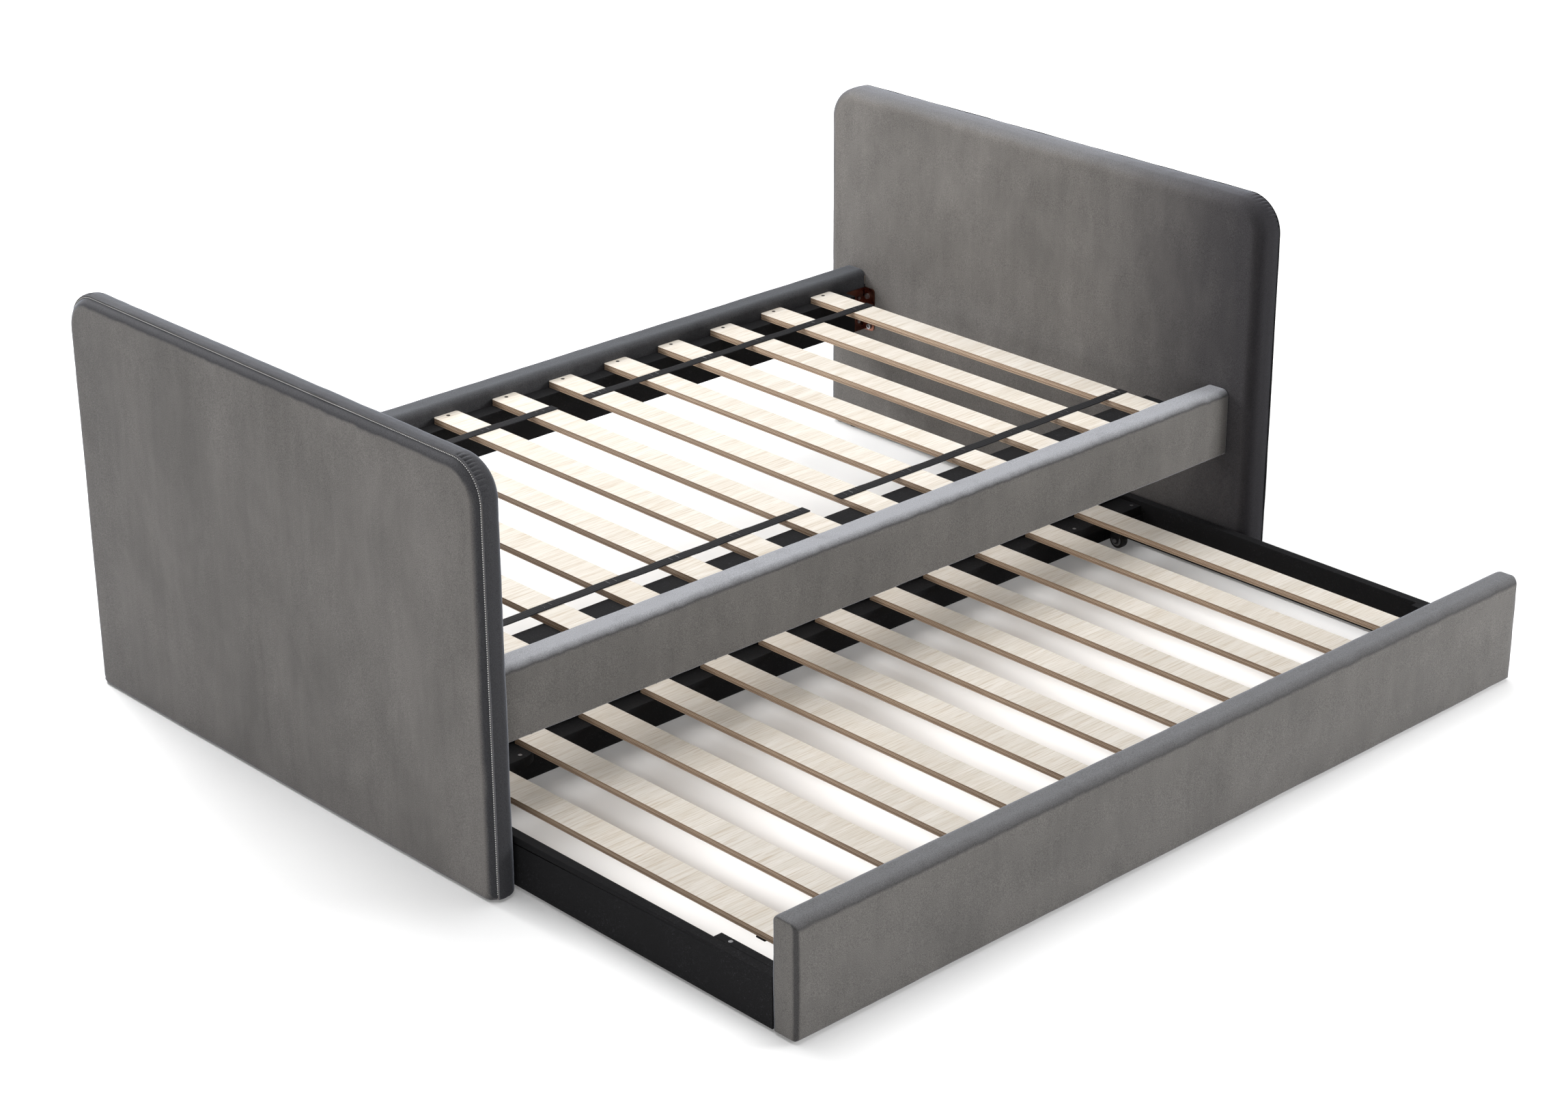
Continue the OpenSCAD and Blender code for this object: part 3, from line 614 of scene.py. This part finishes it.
def band_rings(board, end_depth, end_round, gather_depth, gather_length, seed, swell=0.8 * MM):
    """Rings from the inner face's edge, over the foam's round and along the band to the outer edge."""
    outline, rings = board.outline, []
    face = inner_face_depth(board)
    for inset in INNER_INSETS:
        ring = outline.ring(inset * MM)
        rings.append(board.place(ring, face(ring)))
    for angle in np.radians(np.linspace(0.0, 90.0, 11)):
        ring = outline.ring(INNER_ROUND * (1.0 - math.sin(angle)))
        rings.append(board.place(ring, INNER_ROUND * (1.0 - math.cos(angle))))
    normals = outline.normals()
    length = end_depth - INNER_ROUND
    for share in np.concatenate([np.linspace(0.12, 0.5, 4), np.linspace(0.56, 1.0, 13)]):
        distance = length * (1.0 - share)
        pulled = gathers(outline, distance, gather_depth, gather_length, seed)
        bulge = swell * math.sin(math.pi * share)
        ring = outline.ring(0.0) + normals * (bulge - pulled)[:, None]
        rings.append(board.place(ring, INNER_ROUND + length * share))
    for angle in np.radians(np.linspace(20.0, 75.0, 4)):
        pulled = gathers(outline, 0.0, gather_depth, gather_length, seed) * math.cos(angle)
        ring = outline.ring(end_round * (1.0 - math.cos(angle))) - normals * pulled[:, None]
        rings.append(board.place(ring, end_depth + end_round * math.sin(angle)))
    return rings


def board_cover(board, material, end_depth, gather_depth, gather_length, seed):
    """The cover's inner face and border band in one piece, open at the outer face."""
    rings = band_rings(board, end_depth, 4.0 * MM, gather_depth, gather_length, seed)
    first = board.outline.ring(INNER_INSETS[0] * MM)
    inner = shrunk_rings(board, first, inner_face_depth(board))
    tucked = board.place(board.outline.ring(9.0 * MM), end_depth + 1.0 * MM)
    rings = inner[::-1] + rings + [tucked]
    cover = board.piece("_sewn_cover", rings, material, "velvet", cap_start=True, cap_end=False)
    ruffle(cover, 0.7 * MM, 90.0 * MM, (1.0, 1.0, 2.0), seed)
    ruffle(cover, 0.25 * MM, 26.0 * MM, seed=seed + 3.0)
    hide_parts(board.name + "_cover", board.name + "_foam")


def edge_distance(board, ring):
    """How far points of the outer face lie from its sides and top; the bottom edge doesn't count."""
    half, height, r = board.outline.width / 2, board.outline.height, board.outline.top_r
    across, up = np.abs(ring[:, 0]), ring[:, 1]
    in_corner = (across > half - r) & (up > height - r)
    round_distance = r - np.hypot(across - half + r, up - height + r)
    return np.where(in_corner, round_distance, np.minimum(half - across, height - up))


def seam_relief(inset):
    """How far the outer panel's cloth stands out near its seam: a lip, then the groove of the stitches."""
    lip = 0.8 * MM * np.exp(-(((inset - SEAM_IN - 0.8 * MM) / (0.9 * MM)) ** 2))
    groove = 0.6 * MM * np.exp(-(((inset - STITCH_IN) / (1.2 * MM)) ** 2))
    return lip - groove


def footboard_face(board, rise=13.5 * MM, shoulder=20.0 * MM):
    """Outer panel: sewn to the band with a raised lip, and padded, so it swells out past its stitches."""
    outline = board.outline

    def lie(ring):
        inset = edge_distance(board, ring)
        behind = np.clip(inset - SWELL_IN, 0.0, None)
        swell = rise * (1.0 - (1.0 - np.clip(behind / shoulder, 0.0, 1.0)) ** 3.4)
        crown = 1.5 * MM * (1.0 - np.exp(-behind / 0.12))
        foot = 1.0 - eased(ring[:, 1], 0.0, 6.0 * MM)
        return SEAM_DEPTH + seam_relief(inset) + swell + crown - 2.0 * MM * foot

    first = outline.ring(SEAM_IN + 1.6 * MM)
    under = np.where(first[:, 1] < 8.0 * MM, SEAM_DEPTH - 4.0 * MM, lie(first) - 5.0 * MM)
    rings = [board.place(first, under)]
    for inset, back in ((SEAM_IN - 0.2 * MM, 2.6), (SEAM_IN - 0.5 * MM, 1.2)):
        ring = outline.ring(inset)
        rings.append(board.place(ring, lie(ring) - back * MM))
    for inset in PANEL_INSETS:
        ring = outline.ring(inset * MM)
        rings.append(board.place(ring, lie(ring)))
    rings += shrunk_rings(board, outline.ring(PANEL_INSETS[-1] * MM), lie)
    face = board.piece("_face_velvet", rings, VELVET_FOOT, "velvet", cap_start=False, cap_end=True)
    # The seam lip's faces take the lighter velvet, a painted highlight
    face.data.materials.append(VELVET_LIP_HIGHLIGHT)
    lip_start, lip_end = (row * len(first) for row in LIP_ROWS)
    for polygon in face.data.polygons[lip_start:lip_end]:
        polygon.material_index = 1
    ruffle(face, 0.5 * MM, 110.0 * MM, (1.0, 1.0, 2.2), 5.0)
    ruffle(face, 0.2 * MM, 30.0 * MM, seed=8.0)
    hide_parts("footboard_face")


def stitches(board, inset, depth, lowest, radius=0.75 * MM, length=2.1 * MM):
    """A row of short threads along the sides and top of the outer panel, down to the lowest height."""
    path = board.outline.ring(inset)
    path = np.vstack([path, path[:1]])
    steps = np.linalg.norm(np.diff(path, axis=0), axis=1)
    along = np.concatenate([[0.0], np.cumsum(steps)])
    points, faces = [], []
    sides = 6
    # Along a stitch: share of its length from its middle, share of its radius
    profile = ((-0.5, 0.25), (-0.38, 0.85), (0.0, 1.0), (0.38, 0.85), (0.5, 0.25))
    for s in np.arange(0.0, along[-1], STITCH_PITCH):
        at = np.array([np.interp(s, along, path[:, k]) for k in (0, 1)])
        ahead = np.array([np.interp(s + 1.0 * MM, along, path[:, k]) for k in (0, 1)])
        if at[1] < lowest:
            continue
        tangent = (ahead - at) / np.linalg.norm(ahead - at)
        out = np.array([-tangent[1], tangent[0]])
        first = len(points)
        for t, share in profile:
            for k in range(sides):
                angle = 2 * math.pi * k / sides
                flat = at + tangent * t * length + out * math.cos(angle) * radius * share
                lift = depth + math.sin(angle) * radius * share
                points.append(board.place(flat[None, :], lift)[0])
        faces += ring_faces(len(profile), sides, first)
        for end in (first, first + (len(profile) - 1) * sides):
            faces.append(tuple(range(end, end + sides)))
    new_piece(board.name + "_topstitch", points, faces, board.body, THREAD)


def headboard_back(board):
    """Black cloth stapled over the headboard's outer face, its folded edge proud of the board's sides."""
    outline = board.outline
    base = board.thickness
    rings = []
    # Millimetres of inset, and of depth from the velvet's outer face
    profile = ((5.0, -4.0), (0.2, -4.0), (-1.5, -3.0), (-1.5, -1.0), (-0.2, 0.2), (3.0, 0.5), (9.0, 0.3))
    for inset, depth in profile:
        rings.append(board.place(outline.ring(inset * MM, grow=-1.7 * MM), base + depth * MM))
    rings.append(board.place(outline.ring(30.0 * MM), base + 0.1 * MM))
    rings += shrunk_rings(board, outline.ring(30.0 * MM), lambda ring: base)
    back = board.piece("_back_cloth", rings, BLACK_CLOTH, "black_cloth", cap_start=False)
    ruffle(back, 0.9 * MM, 80.0 * MM, (1.0, 1.0, 1.6), 11.0)
    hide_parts("headboard_backing")


footboard = Board("footboard")
headboard = Board("headboard")
board_cover(footboard, VELVET_FOOT, SEAM_DEPTH - 3.0 * MM, 3.4 * MM, 13.0 * MM, 1.0)
board_cover(headboard, VELVET_HEAD, 57.0 * MM, 2.2 * MM, 14.0 * MM, 2.0)
footboard_face(footboard)
stitches(footboard, STITCH_IN, SEAM_DEPTH + 0.7 * MM, 10.0 * MM)
headboard_back(headboard)


# ------------------------------------------------------------------ rails and trundle panel


def padded_bar(node, body, material, top_r, low_r, end_r, belly, seed, crisp=0.0, end_bulge=0.0):
    """A padded rail or panel: its outline drawn along X, its sides swollen and its ends softly rounded.

    crisp is the share of the end rounding that the top and foot do without."""
    lo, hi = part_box(node)
    step = 9.0 * MM
    outline = Outline(hi.y - lo.y, hi.z - lo.z, top_r, low_r, step, 12, 8)
    normals = outline.normals()
    length = hi.x - lo.x
    centre_y = (lo.y + hi.y) / 2
    full = outline.ring(0.0)
    side = np.sin(np.pi * np.clip(full[:, 1] / outline.height, 0.0, 1.0)) * normals[:, 0]
    swollen = np.stack([belly * side, np.zeros_like(side)], 1)

    def station(distance):
        """The outline at that distance from the nearer end."""
        t = min(1.0, distance / end_r)
        inset = end_r * (1.0 - math.sqrt(1.0 - (1.0 - t) ** 2))
        return outline.ring(inset, crisp * inset) + swollen * min(1.0, 0.3 + distance / (3.0 * end_r))

    def end_cap(ring, outward):
        """Rings that close an end, bulging a little along X."""
        middle_point = ring.mean(0)
        made = []
        for share in (0.95, 0.85, 0.7, 0.5, 0.3, 0.12):
            inner = middle_point + (ring - middle_point) * share
            inner[:, 0] += outward * end_bulge * (1.0 - share**2)
            made.append(inner)
        return made

    near = [end_r * (1.0 - math.cos(a)) for a in np.radians(np.linspace(0.0, 90.0, 7))]
    middle = np.linspace(near[-1], length - near[-1], int(length / step))[1:-1]
    rings = []
    for distance in near + list(middle) + [length - d for d in reversed(near)]:
        ring = station(min(distance, length - distance))
        x = np.full(len(ring), lo.x + distance)
        rings.append(np.stack([x, centre_y + ring[:, 0], lo.z + ring[:, 1]], 1))
    rings = end_cap(rings[0], -1.0)[::-1] + rings + end_cap(rings[-1], 1.0)
    points, faces = skin_over(rings)
    bar = new_piece(node.replace("_cover", "_velvet"), points, faces, body, material)
    ruffle(bar, 0.9 * MM, 80.0 * MM, (2.2, 1.0, 1.0), seed)
    ruffle(bar, 0.3 * MM, 24.0 * MM, seed=seed + 2.0)
    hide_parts(node)


RAIL_SHAPE = {"top_r": 15.0 * MM, "low_r": 6.0 * MM, "end_r": 3.5 * MM, "belly": 1.5 * MM}
padded_bar("front_rail_cover", "bed", VELVET_RAIL, seed=21.0, **RAIL_SHAPE)
padded_bar("back_rail_cover", "bed", VELVET_SHADED, seed=27.0, **RAIL_SHAPE)
padded_bar(
    "trundle_panel_cover",
    "trundle",
    VELVET_PANEL,
    top_r=17.0 * MM,
    low_r=5.0 * MM,
    end_r=10.0 * MM,
    belly=2.0 * MM,
    seed=33.0,
    crisp=0.85,
    end_bulge=1.2 * MM,
)


def rail_lining(node):
    """Thin black cloth stapled over a rail's inner face, a little loose along its length."""
    lo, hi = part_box(node)
    inward = 1.0 if lo.y < 0 else -1.0
    face_y = hi.y if inward > 0 else lo.y
    long_steps, high_steps = 200, 10
    points = []
    for back in (0.0, 0.6 * MM):
        for j in range(high_steps + 1):
            for i in range(long_steps + 1):
                x = lo.x + (hi.x - lo.x) * i / long_steps
                z = lo.z + (hi.z - lo.z) * j / high_steps
                slack = 0.5 * MM * (1.0 + noise.noise(Vector((x * 14.0, z * 30.0, face_y))))
                points.append((x, face_y + inward * (slack - back), z))
    sheet = (long_steps + 1) * (high_steps + 1)
    front = ring_faces(high_steps + 1, long_steps + 1, 0, closed=False)
    behind = [tuple(reversed(f)) for f in ring_faces(high_steps + 1, long_steps + 1, sheet, closed=False)]
    piece = new_piece(node + "_cloth", points, front + behind, "bed", BLACK_CLOTH)
    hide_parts(node)


for rail_node in ("front_rail_liner", "back_rail_liner"):
    rail_lining(rail_node)


# ------------------------------------------------------------------ straps


def slat_spans(node, least_gap=62.0 * MM):
    """(low x, high x) of each slat in a pack, from the gaps between its vertices."""
    xs = sorted({round(v.co.x, 4) for v in NODES[node].data.vertices})
    spans, start = [], xs[0]
    for a, b in zip(xs, xs[1:]):
        if b - a > least_gap:
            spans.append((start, a))
            start = b
    return spans + [(start, xs[-1])]


def strap(node, body, spans, sag):
    """Webbing that lies on the slats and hangs a little between them."""
    lo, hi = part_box(node)
    half, thick = (hi.y - lo.y) / 2, hi.z - lo.z
    centre_y = (lo.y + hi.y) / 2
    # Across the strap: share of its half width, share of its thickness
    section = [
        (-1.0, 0.25), (-0.97, 0.8), (-0.9, 1.0), (-0.45, 0.96), (0.0, 1.0), (0.45, 0.96), (0.9, 1.0),
        (0.97, 0.8), (1.0, 0.25), (0.93, 0.0), (0.0, 0.0), (-0.93, 0.0),
    ]
    rings = []
    for x in np.arange(lo.x, hi.x, 4.0 * MM):
        inside = max((min(x - a, b - x) for a, b in spans), default=-1.0)
        drop = sag * float(eased(-inside, 0.0, 24.0 * MM))
        drift = 0.8 * MM * noise.noise(Vector((x * 6.0, centre_y * 3.0, 0.0)))
        bottom = lo.z - drop
        rings.append(np.array([(x, centre_y + drift + half * u, bottom + thick * w) for u, w in section]))
    points, faces = skin_over(rings, flip=True)
    piece = new_piece(node + "_webbing", points, faces, body, WEBBING)
    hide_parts(node)


for pack in ("foot", "head"):
    for row in ("front", "back"):
        strap(f"{pack}_{row}_strap", "bed", slat_spans(f"{pack}_slats"), 0.7 * MM)
trundle_spans = slat_spans("trundle_foot_slats") + slat_spans("trundle_head_slats")
strap("trundle_strap", "trundle", trundle_spans, 1.0 * MM)


# ------------------------------------------------------------------ CAD pieces


def dress(node, material, bevel=None):
    """Gives a CAD node its finish, and softens its edges with a small bevel."""
    piece = NODES[node]
    piece.data.materials.clear()
    piece.data.materials.append(material)
    if bevel:
        weld = piece.modifiers.new("weld", "WELD")
        weld.merge_threshold = 0.01 * MM
        edge = piece.modifiers.new("edges", "BEVEL")
        edge.width = bevel
        edge.segments = 2
        edge.limit_method = "ANGLE"
        edge.angle_limit = math.radians(35.0)
        edge.use_clamp_overlap = True
        piece.modifiers.new("shading", "WEIGHTED_NORMAL")


def slat_material(name, node):
    """Slat plywood whose ply lines fit between that node's bottom and top."""
    lo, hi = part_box(node)
    return slat_wood(name, lo.z, hi.z - lo.z)


BED_SLAT = slat_material("slat_plywood", "foot_slats")
TRUNDLE_SLAT = slat_material("slat_plywood_trundle", "trundle_foot_slats")

DRESSING = [
    (BED_SLAT, 0.8 * MM, ["foot_slats", "head_slats"]),
    (TRUNDLE_SLAT, 0.8 * MM, ["trundle_foot_slats", "trundle_head_slats"]),
    (
        WRAPPED_BOARD,
        1.6 * MM,
        [
            "front_cleat", "back_cleat", "trundle_foot_side", "trundle_head_side", "trundle_back_board",
            "trundle_back_ledge", "trundle_front_cleat", "trundle_back_blocks", "trundle_front_blocks",
            "caster_blocks",
        ],
    ),
    (BRONZE, 0.5 * MM, ["corner_brackets"]),
    (ZINC, None, ["bracket_bolts", "bracket_screws", "cleat_screws", "strap_staples", "insert_nuts"]),
    (ZINC, None, ["caster_axles", "caster_screws", "trundle_screws"]),
    (BLACK_SCREW, None, ["slat_screws", "trundle_slat_screws"]),
    (BLACK_PLASTIC, 0.4 * MM, ["caster_forks"]),
    (BLACK_PLASTIC, None, ["floor_glides"]),
    (TIMBER, None, ["front_rail_core", "back_rail_core", "trundle_panel_core"]),
    (TIMBER, None, ["footboard_frame", "headboard_frame"]),
    (SKIN_PLY, None, ["footboard_skins", "headboard_skins"]),
]
for corner in ("front_foot", "front_head", "back_foot", "back_head"):
    DRESSING.append((TYRE, None, ["tyre_" + corner]))
    DRESSING.append((HUB, None, ["hub_" + corner]))

for dressing, bevel_width, nodes in DRESSING:
    for node_name in nodes:
        dress(node_name, dressing, bevel_width)

# ------------------------------------------------------------------ floor and light


def floor_plane(size=60.0):
    """The studio floor, a square round the origin."""
    mesh = bpy.data.meshes.new("floor")
    h = size / 2
    mesh.from_pydata([(-h, -h, 0.0), (h, -h, 0.0), (h, h, 0.0), (-h, h, 0.0)], [], [(0, 1, 2, 3)])
    mesh.materials.append(floor_paint("floor"))
    floor = bpy.data.objects.new("floor", mesh)
    scene.collection.objects.link(floor)


def softbox(name, at, aim, size, power):
    """A rectangular area light that looks at a point."""
    light = bpy.data.lights.new(name, "AREA")
    light.shape = "RECTANGLE"
    light.size, light.size_y = size
    light.energy = power
    lamp = bpy.data.objects.new(name, light)
    lamp.location = at
    lamp.rotation_euler = (Vector(aim) - Vector(at)).to_track_quat("-Z", "Y").to_euler()
    scene.collection.objects.link(lamp)


def studio_world(strength):
    """Even white fill light from all round."""
    world = bpy.data.worlds.new("studio")
    world.use_nodes = True
    background = world.node_tree.nodes["Background"]
    background.inputs["Color"].default_value = (1.0, 1.0, 1.0, 1.0)
    background.inputs["Strength"].default_value = strength
    scene.world = world


floor_plane()
softbox("overhead", (0.3, 0.8, 6.0), (0.0, 0.0, 0.3), (6.0, 5.0), 440.0)
softbox("headboard_key", (-0.7, 2.7, 2.0), (1.0, 0.7, 0.6), (1.6, 1.2), 85.0)
softbox("left_low", (-4.2, -2.6, 0.8), (-1.0, 0.1, 0.4), (2.6, 1.2), 78.0)
softbox("front_right", (3.9, -3.9, 1.8), (0.7, -0.9, 0.2), (2.6, 2.0), 250.0)
softbox("back", (0.5, 5.0, 3.0), (0.0, 0.0, 0.4), (4.0, 2.5), 35.0)
studio_world(0.15)
